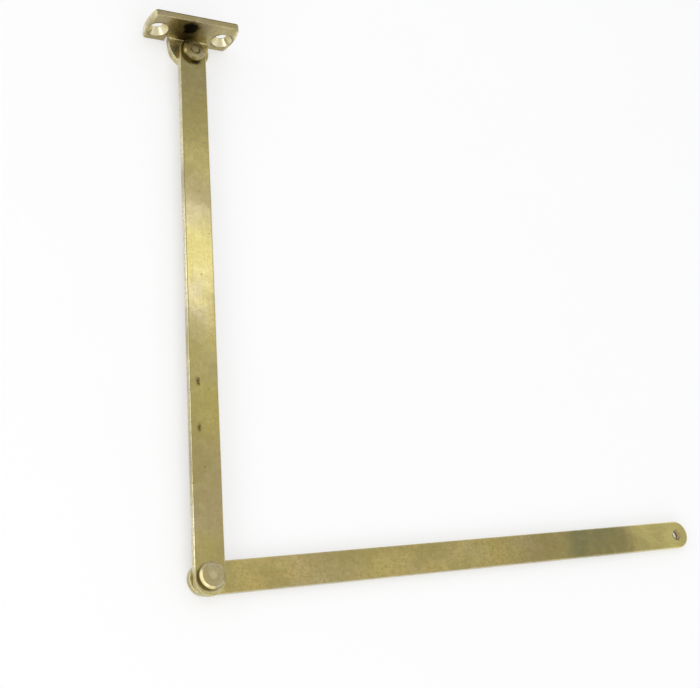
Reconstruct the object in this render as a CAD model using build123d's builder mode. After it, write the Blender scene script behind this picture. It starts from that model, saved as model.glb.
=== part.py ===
from build123d import *

import os
from math import cos, radians, sin, tan

# Chest lid support hinge, lying on its back: a base arm that is screwed to the side of the
# chest, a long arm riveted over it at the elbow, and a folded bracket riveted under the
# other end of the long arm, whose plate is screwed to the lid. Millimetres.
# The origin is the centre of the base arm's screw hole, at the back face. +X runs from the
# elbow to the screw hole, and +Z points to the front, where the rivet heads are.

# Flat bar of both arms
BAR_WIDTH = 12.7
BAR_THICKNESS = 3.2
BAR_EDGE = 0.65  # rounding along the bar's edges
ELBOW_END = 7.3  # elbow rivet centre to the rounded ends beyond it
SCREW_END = 7.0  # screw hole centre to the rounded end beyond it
LID_END = 7.2  # lid rivet centre to the rounded end beyond it

# Length of each arm, from hole centre to hole centre
BASE_ARM_PITCH = 247.6
LONG_ARM_PITCH = 239.0

# Screw holes
ARM_SCREW_HOLE = 4.6
PLATE_SCREW_HOLE = 4.6
PLATE_SCREW_HEAD = 9.2  # mouth of the countersink
SCREW_HEAD_ANGLE = 82.0

# Rivets: a low crowned head in front, and a tail that fills a countersink at the back
SHANK_DIAMETER = 5.0
TAIL_DIAMETER = 7.6
TAIL_ANGLE = 90.0
HEAD_DIAMETER = 10.5
HEAD_HEIGHT = 2.9
HEAD_BEVEL = 0.9  # sloping rim round the head
HEAD_CROWN = 0.25  # rise of the head's face from its rim to its middle
SEAT_CLEARANCE = 0.02  # round a shank where the rivet is fixed
RUNNING_CLEARANCE = 0.08  # round a shank where the arm turns on it

# Lid bracket, folded from one piece of sheet
SHEET = 3.2
BEND_RADIUS = 0.6  # inside of the fold
PLATE_LENGTH = 39.6  # along the plate's two long edges
PLATE_BOW = 1.4  # how far each end bows out between them
PLATE_WIDTH = 17.6
PLATE_SHIFT = -0.8  # middle of the plate, along it from the rivet
PLATE_CORNER = 1.6
SHEET_EDGE = 0.3  # rounding along the sheet's edges
HOLE_SPACING = 31.2
HOLE_HEIGHT = 7.5  # screw holes above the fold's edge of the plate
EAR_WIDTH = 19.0
EAR_END = 5.6  # rivet centre to the rounded end of the ear
PLATE_GAP = 0.5  # between the long arm's end and the inside of the fold
RELIEF_WIDTH = 1.3  # notch at each end of the fold

# Rest pose
ELBOW_ANGLE = 82.6  # between the two arms
BRACKET_TURN = 5.4  # of the plate, from square across the long arm

# Where the pieces lie
elbow = Vector(-BASE_ARM_PITCH, 0, 0)
long_arm_direction = Vector(cos(radians(ELBOW_ANGLE)), sin(radians(ELBOW_ANGLE)), 0)
lid_pivot = elbow + long_arm_direction * LONG_ARM_PITCH
plate_angle = ELBOW_ANGLE - 90 + BRACKET_TURN
plate_direction = Vector(cos(radians(plate_angle)), sin(radians(plate_angle)), 0)
pivot_to_plate = LID_END + PLATE_GAP + BEND_RADIUS
arm_front = 2 * BAR_THICKNESS
ear_back = BAR_THICKNESS - SHEET
up = Vector(0, 0, 1)


def bar_outline(pitch, start_end, far_end):
    """Bar with half-round ends that reach start_end and far_end past its two holes."""
    first_centre = BAR_WIDTH / 2 - start_end
    last_centre = pitch + far_end - BAR_WIDTH / 2
    with BuildSketch() as outline:
        with Locations(((first_centre + last_centre) / 2, 0)):
            SlotCenterToCenter(last_centre - first_centre, BAR_WIDTH)
    return outline.sketch


def rivet_section(back):
    """Half section of a rivet, with its axis along Y, from its tail at back to its head."""
    shank = SHANK_DIAMETER / 2
    tail = TAIL_DIAMETER / 2
    tail_top = back + (tail - shank) / tan(radians(TAIL_ANGLE / 2))
    head = HEAD_DIAMETER / 2
    face = head - HEAD_BEVEL
    top = arm_front + HEAD_HEIGHT
    rim = top - HEAD_CROWN
    with BuildSketch() as section:
        with BuildLine():
            Polyline(
                (0, top),
                (0, back),
                (tail, back),
                (shank, tail_top),
                (shank, arm_front),
                (head, arm_front),
                (head, rim - HEAD_BEVEL),
                (face, rim),
            )
            TangentArc((0, top), (face, rim), tangent=(1, 0))
        make_face()
    return section.sketch


# Base arm: flat bar that lies against the side of the chest. The elbow rivet is fixed in
# its left end, with the tail flush in the back, and a screw goes through the other end.
with BuildPart() as base_arm:
    with BuildSketch(Plane(origin=elbow, x_dir=(1, 0, 0), z_dir=up)):
        add(bar_outline(BASE_ARM_PITCH, ELBOW_END, SCREW_END))
    extrude(amount=BAR_THICKNESS)
    fillet(base_arm.faces().filter_by(Axis.Z).edges(), BAR_EDGE)
    with Locations(Plane(origin=elbow, x_dir=(1, 0, 0), z_dir=-up)):
        CounterSinkHole(
            radius=SHANK_DIAMETER / 2 + SEAT_CLEARANCE,
            counter_sink_radius=TAIL_DIAMETER / 2 + SEAT_CLEARANCE,
            counter_sink_angle=TAIL_ANGLE,
        )
    with Locations((0, 0, BAR_THICKNESS)):
        Hole(radius=ARM_SCREW_HOLE / 2)
base_arm.part.label = "base_arm"

# Long arm: flat bar that lies in front of the base arm and of the bracket's ear, and turns
# on both rivets.
with BuildPart() as long_arm:
    with BuildSketch(Plane(origin=elbow + up * BAR_THICKNESS, x_dir=long_arm_direction, z_dir=up)):
        add(bar_outline(LONG_ARM_PITCH, ELBOW_END, LID_END))
    extrude(amount=BAR_THICKNESS)
    fillet(long_arm.faces().filter_by(Axis.Z).edges(), BAR_EDGE)
    with Locations(elbow + up * arm_front, lid_pivot + up * arm_front):
        Hole(radius=SHANK_DIAMETER / 2 + RUNNING_CLEARANCE)
long_arm.part.label = "long_arm"

# Lid bracket: the ear behind the long arm folds square into the plate that is screwed to
# the lid. In ear_plane X runs along the plate and Y from the rivet to the plate.
ear_plane = Plane(origin=lid_pivot + up * ear_back, x_dir=plate_direction, z_dir=up)
fold_direction = ear_plane.y_dir
near_face = Plane(
    origin=ear_plane.origin + fold_direction * pivot_to_plate,
    x_dir=plate_direction,
    z_dir=-fold_direction,
)
plate_middle = Plane(
    origin=near_face.origin + plate_direction * PLATE_SHIFT,
    x_dir=plate_direction,
    z_dir=-fold_direction,
)
fold_section = Plane(origin=ear_plane.origin, x_dir=fold_direction, z_dir=plate_direction)
outer_bend = BEND_RADIUS + SHEET
bend_start = pivot_to_plate - BEND_RADIUS
half_plate = PLATE_LENGTH / 2
half_ear = EAR_WIDTH / 2
ear_round = half_ear - EAR_END
with BuildPart() as lid_bracket:
    # Plate, with its bowed ends
    with BuildSketch(plate_middle) as plate_outline:
        with BuildLine():
            Line((-half_plate, 0), (half_plate, 0))
            Line((-half_plate, PLATE_WIDTH), (half_plate, PLATE_WIDTH))
            for side in (-1, 1):
                ThreePointArc(
                    (side * half_plate, 0),
                    (side * (half_plate + PLATE_BOW), PLATE_WIDTH / 2),
                    (side * half_plate, PLATE_WIDTH),
                )
        make_face()
        fillet(plate_outline.vertices(), PLATE_CORNER)
    extrude(amount=-SHEET)
    fillet(lid_bracket.faces().filter_by(Axis(near_face.origin, fold_direction)).edges(), SHEET_EDGE)
    # Room for the fold, with a notch at each end of it
    with BuildSketch(near_face):
        with Locations((0, outer_bend / 2)):
            Rectangle(EAR_WIDTH + 2 * RELIEF_WIDTH, outer_bend)
    extrude(amount=-SHEET, mode=Mode.SUBTRACT)
    # The fold itself
    with BuildSketch(fold_section):
        with BuildLine():
            CenterArc((bend_start, outer_bend), BEND_RADIUS, -90, 90)
            CenterArc((bend_start, outer_bend), outer_bend, -90, 90)
            Line((bend_start, 0), (bend_start, SHEET))
            Line((pivot_to_plate, outer_bend), (pivot_to_plate + SHEET, outer_bend))
        make_face()
    extrude(amount=half_ear, both=True)
    # Ear, round at its end
    with BuildSketch(ear_plane):
        with BuildLine():
            Polyline(
                (half_ear, ear_round),
                (half_ear, bend_start),
                (-half_ear, bend_start),
                (-half_ear, ear_round),
            )
            ThreePointArc((-half_ear, ear_round), (0, -EAR_END), (half_ear, ear_round))
        make_face()
    extrude(amount=SHEET)
    ear_faces = lid_bracket.faces().filter_by(Axis.Z).sort_by_distance(lid_pivot)[:2]
    rim = ear_faces.edges().filter_by(Axis(lid_pivot, plate_direction), reverse=True)
    fillet(rim, SHEET_EDGE)
    # Rivet hole, countersunk at the back for the tail
    with Locations(Plane(origin=ear_plane.origin, x_dir=plate_direction, z_dir=-up)):
        CounterSinkHole(
            radius=SHANK_DIAMETER / 2 + SEAT_CLEARANCE,
            counter_sink_radius=TAIL_DIAMETER / 2 + SEAT_CLEARANCE,
            counter_sink_angle=TAIL_ANGLE,
        )
    # Screw holes, countersunk on the ear's side
    with Locations(plate_middle):
        with Locations((-HOLE_SPACING / 2, HOLE_HEIGHT), (HOLE_SPACING / 2, HOLE_HEIGHT)):
            CounterSinkHole(
                radius=PLATE_SCREW_HOLE / 2,
                counter_sink_radius=PLATE_SCREW_HEAD / 2,
                counter_sink_angle=SCREW_HEAD_ANGLE,
            )
lid_bracket.part.label = "lid_bracket"

# Elbow rivet: fixed in the base arm. The long arm turns on it.
with BuildPart() as elbow_rivet:
    with BuildSketch(Plane(origin=elbow, x_dir=(1, 0, 0), z_dir=(0, -1, 0))):
        add(rivet_section(0))
    revolve(axis=Axis(elbow, up))
elbow_rivet.part.label = "elbow_rivet"

# Lid rivet: fixed in the bracket's ear. The long arm turns on it.
with BuildPart() as lid_rivet:
    with BuildSketch(Plane(origin=lid_pivot, x_dir=(1, 0, 0), z_dir=(0, -1, 0))):
        add(rivet_section(ear_back))
    revolve(axis=Axis(lid_pivot, up))
lid_rivet.part.label = "lid_rivet"

os.makedirs("parts", exist_ok=True)
for piece in (base_arm, long_arm, lid_bracket, elbow_rivet, lid_rivet):
    export_step(piece.part, f"parts/{piece.part.label}.step")
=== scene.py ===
from math import atan2, cos, pi, radians, sin

import bpy
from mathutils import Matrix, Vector


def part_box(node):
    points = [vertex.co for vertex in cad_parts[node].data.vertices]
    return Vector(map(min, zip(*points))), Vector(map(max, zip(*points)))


# Chest lid support hinge of brass-plated flat steel, lying on its back: base arm, long arm,
# folded lid bracket and two rivets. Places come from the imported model, in metres; sizes
# within the finishes are in millimetres.
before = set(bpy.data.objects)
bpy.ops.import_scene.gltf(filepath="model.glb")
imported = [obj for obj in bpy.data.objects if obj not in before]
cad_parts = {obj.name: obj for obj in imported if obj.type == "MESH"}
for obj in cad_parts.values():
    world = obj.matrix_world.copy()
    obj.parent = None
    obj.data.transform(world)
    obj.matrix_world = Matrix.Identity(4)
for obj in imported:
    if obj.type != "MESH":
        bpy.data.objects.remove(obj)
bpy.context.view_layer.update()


# Base arm: cold-rolled flat steel bar, sheared round at both ends, tumbled and brass plated.
# It lies against the side of the chest, held by a screw through its free end. The plating
# has dulled in patches. A greenish stretch short of the screw end is partly tarnish, partly a
# painted reflection. The screw end is painted brighter as a highlight, and the screw hole has a
# painted highlight on its wall and painted shade on its near side.
MM = 0.001
BAR_WIDTH = 12.7
BAR_THICKNESS = 3.2
BAR_ROUGHNESS = 0.13
BAR_GRAIN = 22.0  # how many times longer than wide the rolling streaks are
SKIN_DEPTH = 0.03 * MM  # relief in the rolled skin
BASE_PATCHES = 26.0
BASE_SPECKLED = 0.62
SCREW_END_SPECKLED = 0.20
WANDER = 9.0  # how far the marks across the bar wander along it
SCRATCHES_PER_MM = 6.0
SCREW_HOLE = (0.0, 0.0, 0.0)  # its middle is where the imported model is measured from
# Places along the bar from its middle, and distances from the screw hole's middle, each
# from where the mark is not seen to where it is full
ELBOW_END_PALE = (-118.0, -123.0)
SCREW_END_HIGHLIGHT = (94.0, 104.0)
GREEN_BEGINS = (55.0, 66.0)
GREEN_ENDS = (98.0, 90.0)
HOLE_WALL = (2.5, 2.35)
HOLE_SHADE = (3.3, 2.6)
HOLE_SHADE_SLANT = 1.3  # how much more a millimetre across the bar counts than one along it


def tint(red, green, blue):
    """A colour as a screen shows it, 0 to 255, in the values that a finish takes."""
    return tuple(((value / 255 + 0.055) / 1.055) ** 2.4 for value in (red, green, blue)) + (1.0,)


def feed(tree, socket, value):
    """Gives a socket a number, a vector, a colour or another step's output."""
    if isinstance(value, bpy.types.NodeSocket):
        tree.links.new(value, socket)
    else:
        socket.default_value = value


def work_out(tree, operation, *values):
    """One sum on the values, such as ADD or MINIMUM."""
    node = tree.nodes.new("ShaderNodeMath")
    node.operation = operation
    for socket, value in zip(node.inputs, values):
        feed(tree, socket, value)
    return node.outputs[0]


def times(tree, product, *others):
    """The values multiplied together."""
    for other in others:
        product = work_out(tree, "MULTIPLY", product, other)
    return product


def largest(tree, most, *others):
    """The largest of the values."""
    for other in others:
        most = work_out(tree, "MAXIMUM", most, other)
    return most


def fade(tree, value, none, full):
    """Rises smoothly from 0 where the value is none to 1 where it is full."""
    node = tree.nodes.new("ShaderNodeMapRange")
    node.interpolation_type = "SMOOTHSTEP"
    feed(tree, node.inputs["Value"], value)
    feed(tree, node.inputs["From Min"], none)
    feed(tree, node.inputs["From Max"], full)
    return node.outputs["Result"]


def cloud(tree, place, per_mm, detail, waver=0.0):
    """Soft uneven patches, about 0.5 on average, with so many to the millimetre."""
    node = tree.nodes.new("ShaderNodeTexNoise")
    feed(tree, node.inputs["Vector"], place)
    node.inputs["Scale"].default_value = per_mm
    node.inputs["Detail"].default_value = detail
    node.inputs["Distortion"].default_value = waver
    return node.outputs["Fac"]


def lay_over(tree, amount, under, over):
    """The colour over laid on the colour under, as thickly as amount says."""
    node = tree.nodes.new("ShaderNodeMix")
    node.data_type = "RGBA"
    feed(tree, node.inputs[0], amount)
    feed(tree, node.inputs[6], under)
    feed(tree, node.inputs[7], over)
    return node.outputs[2]


def lay_tones(tree, colour, tones, layers):
    """Lays tones over a colour in turn. A layer is its tone, where it lies and how thickly."""
    for tone, *amounts in layers:
        colour = lay_over(tree, times(tree, *amounts), colour, tones[tone])
    return colour


def shape_vector(tree, operation, *vectors):
    """One sum on vectors."""
    node = tree.nodes.new("ShaderNodeVectorMath")
    node.operation = operation
    for socket, vector in zip(node.inputs, vectors):
        feed(tree, socket, vector)
    return node.outputs["Value" if operation == "LENGTH" else "Vector"]


def parts_of(tree, place):
    """The three parts of a place."""
    node = tree.nodes.new("ShaderNodeSeparateXYZ")
    feed(tree, node.inputs[0], place)
    return node.outputs


def from_axis(tree, first, second):
    """Distance from an axis, out of the two offsets across it."""
    squares = [times(tree, offset, offset) for offset in (first, second)]
    return work_out(tree, "SQRT", work_out(tree, "ADD", *squares))


def from_spot(tree, place, middle, half=None):
    """Distance from the middle of a spot. With the spot's half sizes it is 1 at its rim."""
    offset = shape_vector(tree, "SUBTRACT", place, middle)
    if half:
        offset = shape_vector(tree, "DIVIDE", offset, half)
    return shape_vector(tree, "LENGTH", offset)


def start_effect(name, inputs, outputs):
    """An effect that several finishes share. Returns its tree, its inputs and its outputs."""
    tree = bpy.data.node_groups.new(name, "ShaderNodeTree")
    for label, kind in inputs.items():
        tree.interface.new_socket(name=label, in_out="INPUT", socket_type="NodeSocket" + kind)
    for label in outputs:
        tree.interface.new_socket(name=label, in_out="OUTPUT", socket_type="NodeSocketFloat")
    take = tree.nodes.new("NodeGroupInput").outputs
    give = tree.nodes.new("NodeGroupOutput").inputs
    return tree, take, give


def use_effect(tree, effect, **values):
    """Puts a shared effect into a finish, with its values. Returns its outputs."""
    node = tree.nodes.new("ShaderNodeGroup")
    node.node_tree = effect
    for label, value in values.items():
        feed(tree, node.inputs[label.replace("_", " ")], value)
    return node.outputs


# Rolled skin: streaks along the rolling, soft mottling from the tumbling, and small pits
rolled_skin, take, give = start_effect(
    "rolled_skin",
    {"Place": "Vector", "Grain": "Float"},
    ("Streaks", "Mottle", "Pits", "Speckle", "Relief"),
)
tree = rolled_skin
stretch = tree.nodes.new("ShaderNodeCombineXYZ")
feed(tree, stretch.inputs[0], work_out(tree, "DIVIDE", 1.0, take["Grain"]))
stretch.inputs[1].default_value = 1.0
stretch.inputs[2].default_value = 1.0
drawn = shape_vector(tree, "MULTIPLY", take["Place"], stretch.outputs[0])
streaks = cloud(tree, drawn, per_mm=1.3, detail=5.0)
mottle = cloud(tree, take["Place"], per_mm=0.33, detail=4.0, waver=0.4)
pits = fade(tree, cloud(tree, take["Place"], per_mm=0.7, detail=3.0), none=0.31, full=0.24)
speckle = cloud(tree, take["Place"], per_mm=0.9, detail=4.0)
relief = mottle
for layer, rise in ((streaks, 0.25), (speckle, 0.12), (pits, -0.5)):
    relief = work_out(tree, "MULTIPLY_ADD", layer, rise, relief)
for socket, value in zip(give, (streaks, mottle, pits, speckle, relief)):
    feed(tree, socket, value)

# Tarnish: where the brass has dulled, and where a greyer bloom lies on it
tarnish, take, give = start_effect(
    "tarnish", {"Place": "Vector", "Patch Size": "Float"}, ("Dulled", "Bloom")
)
tree = tarnish
patch = tree.nodes.new("ShaderNodeCombineXYZ")
for socket in patch.inputs:
    feed(tree, socket, take["Patch Size"])
spread = shape_vector(tree, "DIVIDE", take["Place"], patch.outputs[0])
dulling = cloud(tree, spread, per_mm=1.0, detail=7.0, waver=0.5)
feed(tree, give["Dulled"], fade(tree, dulling, none=0.40, full=0.68))
elsewhere = shape_vector(tree, "ADD", spread, (7.3, 2.1, 4.6))
blooming = cloud(tree, elsewhere, per_mm=0.8, detail=3.0)
feed(tree, give["Bloom"], fade(tree, blooming, none=0.42, full=0.62))

# Rubbed edge: the bright line that handling leaves along the edges of a flat piece, and a mask of
# the piece's sides, which carries a painted reflection. Place is measured from the middle of the
# piece.
rubbed_edge, take, give = start_effect(
    "rubbed_edge",
    {
        "Place": "Vector",
        "Half Length": "Float",
        "Half Width": "Float",
        "Corner": "Float",
        "Half Thickness": "Float",
        "Reach": "Float",
    },
    ("Edge", "Side"),
)
tree = rubbed_edge
parts = parts_of(tree, take["Place"])
past_straight = []
for part, half in zip(parts, ("Half Length", "Half Width")):
    straight = work_out(tree, "SUBTRACT", take[half], take["Corner"])
    distance = work_out(tree, "ABSOLUTE", part)
    past_straight.append(work_out(tree, "SUBTRACT", distance, straight))
squares = [work_out(tree, "POWER", largest(tree, past, 0.0), 2.0) for past in past_straight]
round_part = work_out(tree, "SQRT", work_out(tree, "ADD", *squares))
flat_part = work_out(tree, "MINIMUM", largest(tree, *past_straight), 0.0)
past_corner = work_out(tree, "ADD", round_part, flat_part)
from_side = work_out(tree, "SUBTRACT", take["Corner"], past_corner)
height = work_out(tree, "ABSOLUTE", parts[2])
from_face = work_out(tree, "SUBTRACT", take["Half Thickness"], height)
on_piece = fade(tree, work_out(tree, "MINIMUM", from_side, from_face), none=-0.9, full=-0.6)
worn = fade(tree, largest(tree, from_side, from_face), take["Reach"], 0.0)
uneven = fade(tree, cloud(tree, take["Place"], per_mm=0.45, detail=5.0), none=0.25, full=0.7)
side = fade(tree, from_side, none=0.55, full=0.15)
feed(tree, give["Edge"], times(tree, worn, uneven, on_piece))
feed(tree, give["Side"], times(tree, side, on_piece))

# Turning marks: circular scratches round a rivet where the pieces rub, and a darker ring against
# its rim, partly dirt and partly painted shade. Place is measured from the rivet's axis.
turning_marks, take, give = start_effect(
    "turning_marks",
    {"Place": "Vector", "Inner": "Float", "Outer": "Float"},
    ("Scratches", "Dirt_And_Shade"),
)
tree = turning_marks
inner, outer = take["Inner"], take["Outer"]
parts = parts_of(tree, take["Place"])
radius = from_axis(tree, parts[0], parts[1])
rings = tree.nodes.new("ShaderNodeCombineXYZ")
feed(tree, rings.inputs[0], times(tree, radius, SCRATCHES_PER_MM))
feed(tree, rings.inputs[1], work_out(tree, "ARCTAN2", parts[1], parts[0]))
arcs = fade(tree, cloud(tree, rings.outputs[0], per_mm=1.0, detail=3.0), none=0.42, full=0.66)
past_inner = fade(tree, radius, work_out(tree, "SUBTRACT", inner, 0.5), inner)
short_of_outer = fade(tree, radius, outer, work_out(tree, "SUBTRACT", outer, 1.0))
feed(tree, give["Scratches"], times(tree, past_inner, short_of_outer, arcs))
rim_dirt_and_shade = fade(tree, cloud(tree, take["Place"], per_mm=0.5, detail=4.0), none=0.3, full=0.6)
outside_rim = fade(tree, radius, work_out(tree, "ADD", inner, 1.1), inner)
inside_rim = fade(tree, radius, work_out(tree, "SUBTRACT", inner, 0.6), inner)
feed(tree, give["Dirt_And_Shade"], times(tree, outside_rim, inside_rim, rim_dirt_and_shade))


def middle_of(low, high):
    """Middle of a piece's box."""
    return (Vector(low) + Vector(high)) / 2


def place_from(tree, middle, turn=0.0):
    """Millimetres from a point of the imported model, along a piece that is turned so far."""
    spot = tree.nodes.new("ShaderNodeTexCoord")
    node = tree.nodes.new("ShaderNodeMapping")
    node.vector_type = "TEXTURE"
    node.inputs["Location"].default_value = middle
    node.inputs["Rotation"].default_value = (0.0, 0.0, turn)
    node.inputs["Scale"].default_value = (MM, MM, MM)
    tree.links.new(spot.outputs["Object"], node.inputs["Vector"])
    return node.outputs[0]


def start_finish(name):
    """A new finish and its tree."""
    finish = bpy.data.materials.new(name)
    finish.use_nodes = True
    return finish, finish.node_tree


def brass_plate(
    tree, skin, tones, colour, dulled, rubbed, dirt, roughness, speckled=0.45, lacquer=0.9
):
    """Brass plating: clean colour, dulled places, rubbed places with painted highlights, dirt
    with painted shade, and the skin's relief.
    Returns its shader and its colour."""
    layers = (
        ("dulled", dulled, 0.7),
        ("dulled", fade(tree, skin["Streaks"], none=0.5, full=0.72), 0.35),
        ("dulled", fade(tree, skin["Speckle"], none=0.42, full=0.66), speckled),
        ("rubbed", fade(tree, skin["Mottle"], none=0.4, full=0.8), 0.16),
        ("dirt", skin["Pits"], 0.55),
        ("rubbed", rubbed),
        ("dirt", dirt),
    )
    colour = lay_tones(tree, colour, tones, layers)
    metal = tree.nodes["Principled BSDF"]
    metal.inputs["Metallic"].default_value = 1.0
    feed(tree, metal.inputs["Base Color"], colour)
    for cause, rougher in ((dulled, 0.10), (skin["Streaks"], 0.08), (dirt, 0.30)):
        roughness = work_out(tree, "MULTIPLY_ADD", cause, rougher, roughness)
    feed(tree, metal.inputs["Roughness"], roughness)
    coat = work_out(tree, "MULTIPLY_ADD", dirt, -lacquer, lacquer)
    feed(tree, metal.inputs["Coat Weight"], coat)
    metal.inputs["Coat Roughness"].default_value = 0.25
    bump = tree.nodes.new("ShaderNodeBump")
    bump.inputs["Strength"].default_value = 1.0
    bump.inputs["Distance"].default_value = SKIN_DEPTH
    feed(tree, bump.inputs["Height"], skin["Relief"])
    tree.links.new(bump.outputs["Normal"], metal.inputs["Normal"])
    return metal, colour


def dress(node, finish):
    """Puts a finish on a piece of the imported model."""
    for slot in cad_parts[node].material_slots:
        slot.material = finish


elbow = middle_of(*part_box("elbow_rivet"))
arm_low, arm_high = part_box("base_arm")
base_tones = {
    "clean": tint(172, 155, 84),
    "bloom": tint(168, 151, 99),
    "dulled": tint(144, 129, 66),
    "ochre": tint(184, 155, 86),
    "green": tint(126, 126, 76),
    "screw_end": tint(216, 202, 116),
    "hole": tint(216, 190, 138),
    "rubbed": tint(203, 192, 140),
    "dirt": tint(74, 64, 42),
}
finish, tree = start_finish("base_arm_brass_plate")
place = place_from(tree, middle_of(arm_low, arm_high))
skin = use_effect(tree, rolled_skin, Place=place, Grain=BAR_GRAIN)
patches = use_effect(tree, tarnish, Place=place, Patch_Size=BASE_PATCHES)
edges = use_effect(
    tree,
    rubbed_edge,
    Place=place,
    Half_Length=(arm_high[0] - arm_low[0]) / 2 / MM,
    Half_Width=BAR_WIDTH / 2,
    Corner=BAR_WIDTH / 2,
    Half_Thickness=BAR_THICKNESS / 2,
    Reach=0.9,
)
turning = use_effect(tree, turning_marks, Place=place_from(tree, elbow), Inner=3.0, Outer=7.6)
along = parts_of(tree, place)[0]
wander = work_out(tree, "MULTIPLY_ADD", skin["Mottle"], WANDER, along)
# the screw end is painted brighter and yellower, a painted highlight, and is less speckled
screw_end = fade(tree, wander, *SCREW_END_HIGHLIGHT)
ochre = cloud(tree, place, per_mm=0.11, detail=5.0, waver=0.6)
in_hole = parts_of(tree, place_from(tree, SCREW_HOLE))
from_hole = from_axis(tree, in_hole[0], in_hole[1])
hole_wall = fade(tree, from_hole, *HOLE_WALL)
layers = (
    ("bloom", patches["Bloom"]),
    ("ochre", fade(tree, ochre, none=0.46, full=0.66), 0.35),
    ("screw_end", screw_end),
    # the screw hole's wall is painted pale, a painted highlight
    ("hole", hole_wall),
    ("rubbed", fade(tree, along, *ELBOW_END_PALE), 0.7),
    # the greenish stretch: partly tarnish, partly a painted reflection
    ("green", fade(tree, wander, *GREEN_BEGINS), fade(tree, wander, *GREEN_ENDS), 0.9),
)
colour = lay_tones(tree, base_tones["clean"], base_tones, layers)
# painted shade in the screw hole: darker on the hole's near side and low on its wall
slanting = work_out(tree, "MULTIPLY_ADD", in_hole[1], HOLE_SHADE_SLANT, in_hole[0])
near_side = fade(tree, slanting, none=-1.6, full=-3.2)
low_in_hole = fade(tree, in_hole[2], none=1.6, full=0.5)
hole_shade = largest(
    tree,
    times(tree, near_side, fade(tree, from_hole, *HOLE_SHADE)),
    times(tree, hole_wall, low_in_hole),
)
brass_plate(
    tree,
    skin,
    base_tones,
    colour,
    dulled=patches["Dulled"],
    rubbed=times(tree, largest(tree, edges["Edge"], turning["Scratches"]), 0.6),
    dirt=largest(tree, times(tree, turning["Dirt_And_Shade"], 0.5), times(tree, hole_shade, 0.8)),
    roughness=BAR_ROUGHNESS,
    speckled=work_out(
        tree, "MULTIPLY_ADD", screw_end, SCREW_END_SPECKLED - BASE_SPECKLED, BASE_SPECKLED
    ),
)
dress("base_arm", finish)


# Long arm: the same plated flat bar, riveted in front of the base arm and of the bracket's
# ear, and free to turn on both rivets. Its sides are painted pale, a painted reflection of the
# floor. Dirt and painted shade lie round the rivet heads, a painted shadow lies below the lid
# rivet's head, and two small bruises have gone through the plating.
LONG_PATCHES = 31.0
LONG_END = 7.25  # from a rivet to the end beyond it, the mean of both
PALE_SIDE_REFLECTION = (121.0, 115.0)  # from the bar's middle: not seen, full
LONG_ELBOW_END_PALE = (-118.0, -122.5)
HEAD_RIM = 5.3  # a little more than a rivet head's radius
HEAD_SCRATCHES_END = 6.6
HEAD_SHADOW_MIDDLE = (115.0, -1.0, 1.6)  # painted shadow below the lid rivet's head
HEAD_SHADOW_HALF = (2.1, 3.0, 1.5)
BRUISES = ((-40.5, 2.7, 1.3), (-60.5, 2.6, 1.2))  # along, across and size
BRUISE_SHAPE = (0.45, 1.0, 1.0)  # drawn out along the bar
BRUISE_RIM = 1.2
BRUISE_TORN = 2.4  # how ragged their outlines are
long_tones = {
    "clean": tint(163, 149, 73),
    "bloom": tint(159, 143, 97),
    "dulled": tint(144, 130, 65),
    "rubbed": tint(204, 193, 140),
    "side": tint(242, 234, 196),
    "dirt": tint(58, 48, 22),
}
lid_pivot = middle_of(*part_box("lid_rivet"))
span = lid_pivot - elbow
long_middle = (elbow + lid_pivot) / 2
long_middle[2] = BAR_THICKNESS * 1.5 * MM
finish, tree = start_finish("long_arm_brass_plate")
place = place_from(tree, long_middle, atan2(span[1], span[0]))
skin = use_effect(tree, rolled_skin, Place=place, Grain=BAR_GRAIN)
patches = use_effect(tree, tarnish, Place=place, Patch_Size=LONG_PATCHES)
edges = use_effect(
    tree,
    rubbed_edge,
    Place=place,
    Half_Length=span.to_2d().length / 2 / MM + LONG_END,
    Half_Width=BAR_WIDTH / 2,
    Corner=BAR_WIDTH / 2,
    Half_Thickness=BAR_THICKNESS / 2,
    Reach=0.8,
)
head_marks = [
    use_effect(
        tree,
        turning_marks,
        Place=place_from(tree, pivot),
        Inner=HEAD_RIM,
        Outer=HEAD_SCRATCHES_END,
    )
    for pivot in (elbow, lid_pivot)
]
scratched = largest(tree, *[marks["Scratches"] for marks in head_marks])
# dirt and painted shade round both rivet heads
rim_dirt_and_shade = largest(tree, *[marks["Dirt_And_Shade"] for marks in head_marks])
torn = cloud(tree, place, per_mm=1.1, detail=4.0, waver=0.8)
bruises = []
for along_bar, across_bar, size in BRUISES:
    offset = shape_vector(tree, "SUBTRACT", place, (along_bar, across_bar, BAR_THICKNESS / 2))
    reach = shape_vector(tree, "LENGTH", shape_vector(tree, "MULTIPLY", offset, BRUISE_SHAPE))
    ragged = work_out(tree, "MULTIPLY_ADD", torn, BRUISE_TORN, reach)
    bruises.append(fade(tree, ragged, none=size + BRUISE_RIM, full=size))
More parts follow.
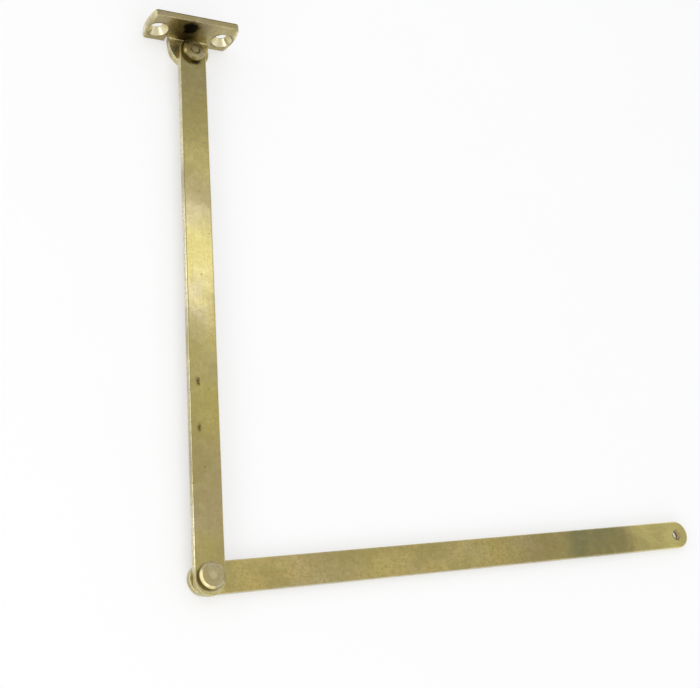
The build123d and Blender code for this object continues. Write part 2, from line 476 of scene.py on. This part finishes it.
# a painted shadow below the lid rivet's head
from_head_shadow = from_spot(tree, place, HEAD_SHADOW_MIDDLE, HEAD_SHADOW_HALF)
patchy = cloud(tree, place, per_mm=0.6, detail=3.0)
head_shadow = work_out(tree, "MULTIPLY_ADD", patchy, 0.8, from_head_shadow)
along = parts_of(tree, place)[0]
short_of_ends = fade(tree, work_out(tree, "ABSOLUTE", along), *PALE_SIDE_REFLECTION)
layers = (
    ("bloom", patches["Bloom"]),
    # the sides are painted pale, a painted reflection of the white floor beside them
    ("side", edges["Side"], 0.9, short_of_ends),
    ("rubbed", fade(tree, along, *LONG_ELBOW_END_PALE), 0.6),
)
brass_plate(
    tree,
    skin,
    long_tones,
    lay_tones(tree, long_tones["clean"], long_tones, layers),
    dulled=patches["Dulled"],
    rubbed=largest(tree, times(tree, edges["Edge"], 0.2), times(tree, scratched, 0.6)),
    dirt=largest(
        tree,
        times(tree, rim_dirt_and_shade, 0.4),
        times(tree, largest(tree, *bruises), 0.75),
        times(tree, fade(tree, head_shadow, none=1.5, full=0.9), 0.9),
    ),
    roughness=BAR_ROUGHNESS,
)
dress("long_arm", finish)


# Lid bracket: one piece of sheet steel of the same thickness, punched, folded square and
# brass plated. The ear is riveted behind the long arm and painted pale against the plate's
# shade, with painted highlights in the fold's corners. The plate is screwed to the lid and its
# two countersinks are cut bright. A near-black painted reflection with a brown halo of painted
# shade lies on the face above the fold, and a spot of painted shade at one top corner.
SHEET = 3.2
BRACKET_PATCHES = 9.0
BRACKET_ROUGHNESS = 0.18
PLATE_TURN = radians(-2.0)
PLATE_HALF = (20.6, 8.8)
PLATE_CORNER = 1.6
EAR_HALF = 9.5
HOLES = (-16.4, 14.8)  # along the plate from the rivet
HOLE_HEIGHT = 7.5
# Middles, from the rivet: along the plate, towards it and up
PLATE_MIDDLE = (-0.8, 9.9, 8.8)
EAR_MIDDLE = (0.0, 3.9, SHEET / 2)
FOLD_HIGHLIGHT = (7.6, 7.2, 3.4)  # on either side
CORNER_SHADE = (19.4, 10.6, 16.6)
DARK_REFLECTION_MIDDLE = (-2.5, 8.3, 12.6)
DARK_REFLECTION_HALF = (4.4, 4.0, 5.2)
# Distances from the rivet in the same directions, from a screw hole's middle, and from the
# plate's middle, each from where the mark is not seen to where it is full
ON_EAR = (7.2, 5.8)
CLEAR_OF_FOLD = (6.5, 5.0)
ON_NEAR_FACE = (9.0, 8.5)
SHORT_OF_BACK = (11.45, 11.2)
TOWARDS_BACK = (10.5, 11.1)
ABOVE_EAR = (1.0, 3.0)
ABOVE_FOLD = (3.8, 5.6)
TOP_EDGE = (16.8, 17.35)
COUNTERSINK = (4.75, 4.5)
ROUND_COUNTERSINK = (5.9, 4.9)
PLATE_ENDS = (19.0, 19.9)
bracket_tones = {
    "clean": tint(172, 158, 100),
    "bloom": tint(170, 154, 112),
    "dulled": tint(146, 131, 76),
    "rubbed": tint(222, 212, 172),
    "ends": tint(232, 223, 176),
    "countersink": tint(226, 216, 176),
    "dirt": tint(22, 17, 9),
}
finish, tree = start_finish("lid_bracket_brass_plate")
place = place_from(tree, (lid_pivot[0], lid_pivot[1], 0.0), PLATE_TURN)
skin = use_effect(tree, rolled_skin, Place=place, Grain=3.0)
patches = use_effect(tree, tarnish, Place=place, Patch_Size=BRACKET_PATCHES)
laid = tree.nodes.new("ShaderNodeMapping")
laid.vector_type = "TEXTURE"
laid.inputs["Location"].default_value = PLATE_MIDDLE
laid.inputs["Rotation"].default_value = (pi / 2, 0.0, 0.0)
tree.links.new(place, laid.inputs["Vector"])
plate_edges = use_effect(
    tree,
    rubbed_edge,
    Place=laid.outputs[0],
    Half_Length=PLATE_HALF[0],
    Half_Width=PLATE_HALF[1],
    Corner=PLATE_CORNER,
    Half_Thickness=SHEET / 2,
    Reach=1.0,
)
ear_edges = use_effect(
    tree,
    rubbed_edge,
    Place=shape_vector(tree, "SUBTRACT", place, EAR_MIDDLE),
    Half_Length=EAR_HALF,
    Half_Width=EAR_HALF,
    Corner=EAR_HALF,
    Half_Thickness=SHEET / 2,
    Reach=1.0,
)
from_holes = []
for hole in HOLES:
    offset = parts_of(tree, shape_vector(tree, "SUBTRACT", place, (hole, 0.0, HOLE_HEIGHT)))
    from_holes.append(from_axis(tree, offset[0], offset[2]))
in_sinks = largest(tree, *[fade(tree, distance, *COUNTERSINK) for distance in from_holes])
round_sinks = largest(
    tree, *[fade(tree, distance, *ROUND_COUNTERSINK) for distance in from_holes]
)
along, towards, up = parts_of(tree, place)
near_face = fade(tree, towards, *ON_NEAR_FACE)
cut_bright = times(tree, in_sinks, fade(tree, towards, *SHORT_OF_BACK))
uncut = work_out(tree, "SUBTRACT", 1.0, cut_bright)
from_dark_reflection = from_spot(tree, place, DARK_REFLECTION_MIDDLE, DARK_REFLECTION_HALF)
reflection_raggedness = cloud(tree, place, per_mm=0.35, detail=4.0, waver=0.5)
dark_reflection_reach = work_out(tree, "MULTIPLY_ADD", reflection_raggedness, 1.1, from_dark_reflection)
either_side = shape_vector(tree, "ABSOLUTE", place)
from_plate_middle = work_out(
    tree, "ABSOLUTE", work_out(tree, "SUBTRACT", along, PLATE_MIDDLE[0])
)
layers = (
    ("bloom", patches["Bloom"]),
    # painted highlights in the fold's inner corner on either side of the ear
    ("ends", fade(tree, from_spot(tree, either_side, FOLD_HIGHLIGHT), none=3.4, full=1.4), 0.8),
    # the ear is painted pale: painted light against the shade of the plate above it
    ("ends", fade(tree, towards, *ON_EAR), 0.75),
    ("ends", fade(tree, from_plate_middle, *PLATE_ENDS), 0.8),
)
rubbed = largest(
    tree,
    times(tree, plate_edges["Edge"], fade(tree, up, *ABOVE_EAR)),
    times(tree, ear_edges["Edge"], fade(tree, towards, *CLEAR_OF_FOLD)),
)
# a near-black painted reflection on the plate's near face, above the fold
dark_reflection = times(tree, fade(tree, dark_reflection_reach, none=1.75, full=1.15), near_face)
above_fold = fade(tree, up, *ABOVE_FOLD)
# a wider brown halo of painted shade round it
dark_reflection_halo = times(tree, fade(tree, dark_reflection_reach, none=3.6, full=1.4), near_face, above_fold)
back_edge = times(tree, fade(tree, up, *TOP_EDGE), fade(tree, towards, *TOWARDS_BACK))
patchy = fade(tree, cloud(tree, place, per_mm=0.3, detail=4.0), none=0.38, full=0.6)
# a spot of painted shade at one top corner of the plate
corner_shade = fade(tree, from_spot(tree, place, CORNER_SHADE), none=1.9, full=0.9)
dirt = largest(
    tree,
    dark_reflection,
    times(tree, dark_reflection_halo, 0.3),
    times(tree, back_edge, 0.55),
    times(tree, round_sinks, patchy, 0.5, near_face),
    times(tree, corner_shade, 0.9),
)
metal, plated = brass_plate(
    tree,
    skin,
    bracket_tones,
    lay_tones(tree, bracket_tones["clean"], bracket_tones, layers),
    dulled=times(tree, patches["Dulled"], uncut),
    rubbed=times(tree, rubbed, 0.15),
    dirt=times(tree, dirt, uncut),
    roughness=BRACKET_ROUGHNESS,
)
cut_colour = lay_over(tree, cut_bright, plated, bracket_tones["countersink"])
feed(tree, metal.inputs["Base Color"], cut_colour)
feed(tree, metal.inputs["Metallic"], work_out(tree, "MULTIPLY_ADD", cut_bright, -0.25, 1.0))
dress("lid_bracket", finish)


# Rivets: headed steel pins, brass plated with the rest. Each has a low crowned head with a
# sloping rim, rubbed bright where fingers and the polishing wheel reach, and fine turning lines.
# A painted highlight lies on the crown's middle, and a darker ring on the face is a painted
# reflection, strongest on the lid rivet.
HEAD_RADIUS = 5.25
HEAD_FACE = 9.3  # height of the crowned face's middle above the back of the base arm
HEAD_RUB = 2.0  # how far below that the handling has reached
RIVET_PATCHES = 4.0
RIVET_ROUGHNESS = 0.18
RIVET_LOOKS = {
    "elbow_rivet": {
        "pivot": elbow,
        "clean": tint(156, 142, 84),
        "ring_darkness": 0.12,
        "rim": 0.9,
        "crown_highlight": 0.28,
        "lacquer": 0.9,
    },
    "lid_rivet": {
        "pivot": lid_pivot,
        "clean": tint(118, 103, 36),
        "ring_darkness": 1.0,
        "rim": 0.35,
        "crown_highlight": 0.1,
        "lacquer": 0.3,
    },
}
rivet_tones = {
    "dulled": tint(138, 124, 84),
    "rubbed": tint(226, 217, 186),
    "dirt": tint(48, 40, 14),
}
for rivet, look in RIVET_LOOKS.items():
    finish, tree = start_finish(rivet + "_brass_plate")
    middle = (look["pivot"][0], look["pivot"][1], (HEAD_FACE - HEAD_RUB) * MM)
    place = place_from(tree, middle)
    skin = use_effect(tree, rolled_skin, Place=place, Grain=1.5)
    patches = use_effect(tree, tarnish, Place=place, Patch_Size=RIVET_PATCHES)
    rim = use_effect(
        tree,
        rubbed_edge,
        Place=place,
        Half_Length=HEAD_RADIUS,
        Half_Width=HEAD_RADIUS,
        Corner=HEAD_RADIUS,
        Half_Thickness=HEAD_RUB,
        Reach=1.3,
    )
    lines = use_effect(tree, turning_marks, Place=place, Inner=0.4, Outer=4.8)
    # a darker ring on the head's face, a painted reflection, strongest on the lid rivet
    dark_ring = use_effect(tree, turning_marks, Place=place, Inner=2.0, Outer=2.8)
    flat_place = shape_vector(tree, "MULTIPLY", place, (1.0, 1.0, 0.0))
    # a painted highlight on the middle of the crown, laid with the rubbed tone
    crown_highlight = fade(tree, shape_vector(tree, "LENGTH", flat_place), none=3.0, full=0.5)
    brass_plate(
        tree,
        skin,
        rivet_tones,
        look["clean"],
        dulled=patches["Dulled"],
        rubbed=largest(
            tree,
            times(tree, crown_highlight, look["crown_highlight"]),
            times(tree, rim["Edge"], look["rim"]),
            times(tree, lines["Scratches"], 0.2),
        ),
        dirt=times(tree, dark_ring["Dirt_And_Shade"], look["ring_darkness"]),
        roughness=RIVET_ROUGHNESS,
        lacquer=look["lacquer"],
    )
    dress(rivet, finish)


# Floor: a wide sheet of smooth pale board that the hinge lies on, which keeps its shadow.
# Far from the hinge it turns plain white, so that no horizon shows.
FLOOR_HALF = 4.0
FLOOR_DROP = 0.00005
FLOOR_LIFT = 0.5  # share of plain white in what the camera and the gloss see near the hinge
FLOOR_FAR = (350.0, 900.0)  # millimetres over which the floor turns plain white
BOARD_TONES = ((0.94, 0.94, 0.935, 1.0), (0.96, 0.96, 0.955, 1.0))
corners = [
    (x * FLOOR_HALF, y * FLOOR_HALF, -FLOOR_DROP) for x, y in ((-1, -1), (1, -1), (1, 1), (-1, 1))
]
floor_mesh = bpy.data.meshes.new("floor")
floor_mesh.from_pydata(corners, [], [(0, 1, 2, 3)])
floor = bpy.data.objects.new("floor", floor_mesh)
bpy.context.scene.collection.objects.link(floor)
finish, tree = start_finish("pale_board")
board = tree.nodes["Principled BSDF"]
place = place_from(tree, (0.0, 0.0, 0.0))
fibres = cloud(tree, place, per_mm=0.02, detail=5.0)
feed(tree, board.inputs["Base Color"], lay_over(tree, fibres, *BOARD_TONES))
board.inputs["Roughness"].default_value = 0.85
board.inputs["Specular IOR Level"].default_value = 0.2
rays = tree.nodes.new("ShaderNodeLightPath").outputs
by_eye = largest(
    tree, rays["Is Camera Ray"], rays["Is Glossy Ray"], rays["Is Transmission Ray"]
)
white = tree.nodes.new("ShaderNodeEmission")
white.inputs["Strength"].default_value = 1.0
far_off = fade(tree, shape_vector(tree, "LENGTH", place), *FLOOR_FAR)
lift = work_out(tree, "MULTIPLY_ADD", far_off, 1.0 - FLOOR_LIFT, FLOOR_LIFT)
lifted = tree.nodes.new("ShaderNodeMixShader")
feed(tree, lifted.inputs[0], times(tree, by_eye, lift))
tree.links.new(board.outputs[0], lifted.inputs[1])
tree.links.new(white.outputs[0], lifted.inputs[2])
tree.links.new(lifted.outputs[0], tree.nodes["Material Output"].inputs["Surface"])
floor_mesh.materials.append(finish)


# Light: a plain pale room, a wide soft lamp overhead that ends short of the arms' far ends,
# two small ones of cool daylight whose glow lies on the long arm, and four low ones that
# stand round the elbow from its left to its front.
WHITE_LIGHT = (1.0, 1.0, 1.0)
ROOM_LEVELS = (1.0, 0.57)  # round the sides, and overhead
ROOM_FADE = (0.44, 0.80)  # sines of the heights between which the room darkens
LAMPS_ABOVE = (  # name, place, size, brightness and colour
    ("overhead_lamp", (0.19, 0.22, 1.2), (1.37, 1.44), 0.46, WHITE_LIGHT),
    ("glow_lamp", (-0.016, 0.326, 0.45), (0.07, 0.05), 2.15, (0.92, 1.0, 1.7)),
    ("wide_glow_lamp", (-0.005, 0.385, 0.45), (0.12, 0.12), 1.35, (0.92, 1.0, 1.4)),
)
LOW_LAMP_SIDES = (-206.0, -165.0, -124.0, -83.0)  # degrees round the elbow
LOW_LAMP_RISE = 0.40
LOW_LAMP_REACH = 0.85
LOW_LAMP_SIZE = (0.64, 0.34)
LOW_LAMP_BRIGHTNESS = 1.5
room = bpy.data.worlds.new("pale_room")
bpy.context.scene.world = room
room.use_nodes = True
tree = room.node_tree
direction = tree.nodes.new("ShaderNodeTexCoord").outputs["Generated"]
overhead = fade(tree, parts_of(tree, direction)[2], *ROOM_FADE)
levels = [(level, level, level, 1.0) for level in ROOM_LEVELS]
feed(tree, tree.nodes["Background"].inputs["Color"], lay_over(tree, overhead, *levels))


def soft_lamp(name, middle, aim, size, brightness, colour=WHITE_LIGHT):
    """A flat soft lamp. Its brightness is 1 where it looks as light as a white board."""
    lamp = bpy.data.lights.new(name, "AREA")
    lamp.shape = "RECTANGLE"
    lamp.size, lamp.size_y = size
    lamp.energy = brightness * pi * size[0] * size[1]
    lamp.color = colour
    piece = bpy.data.objects.new(name, lamp)
    piece.location = middle
    piece.rotation_euler = (Vector(aim) - Vector(middle)).to_track_quat("-Z", "Y").to_euler()
    piece.visible_camera = False
    bpy.context.scene.collection.objects.link(piece)


for name, middle, size, brightness, colour in LAMPS_ABOVE:
    soft_lamp(name, middle, (middle[0], middle[1], 0.0), size, brightness, colour)
for number, side in enumerate(LOW_LAMP_SIDES):
    reach = Vector((cos(radians(side)), sin(radians(side)), LOW_LAMP_RISE)) * LOW_LAMP_REACH
    soft_lamp(f"low_lamp_{number}", elbow + reach, elbow, LOW_LAMP_SIZE, LOW_LAMP_BRIGHTNESS)


# Camera: above the front left, looking down at the hinge as the photograph does. Its place,
# turn and lens were fitted to the hinge's outlines there.
CAMERA_PLACE = (-0.45071, -0.08434, 0.43703)
CAMERA_TURN = (25.6936, -29.1524, -12.4481)
CAMERA_LENS = 64.594
lens = bpy.data.cameras.new("camera")
lens.sensor_fit = "HORIZONTAL"
lens.sensor_width = 36.0
lens.lens = CAMERA_LENS
lens.clip_start = 0.01
camera = bpy.data.objects.new("camera", lens)
camera.location = CAMERA_PLACE
camera.rotation_euler = [radians(angle) for angle in CAMERA_TURN]
bpy.context.scene.collection.objects.link(camera)
bpy.context.scene.camera = camera
bpy.context.scene.view_settings.view_transform = "Standard"
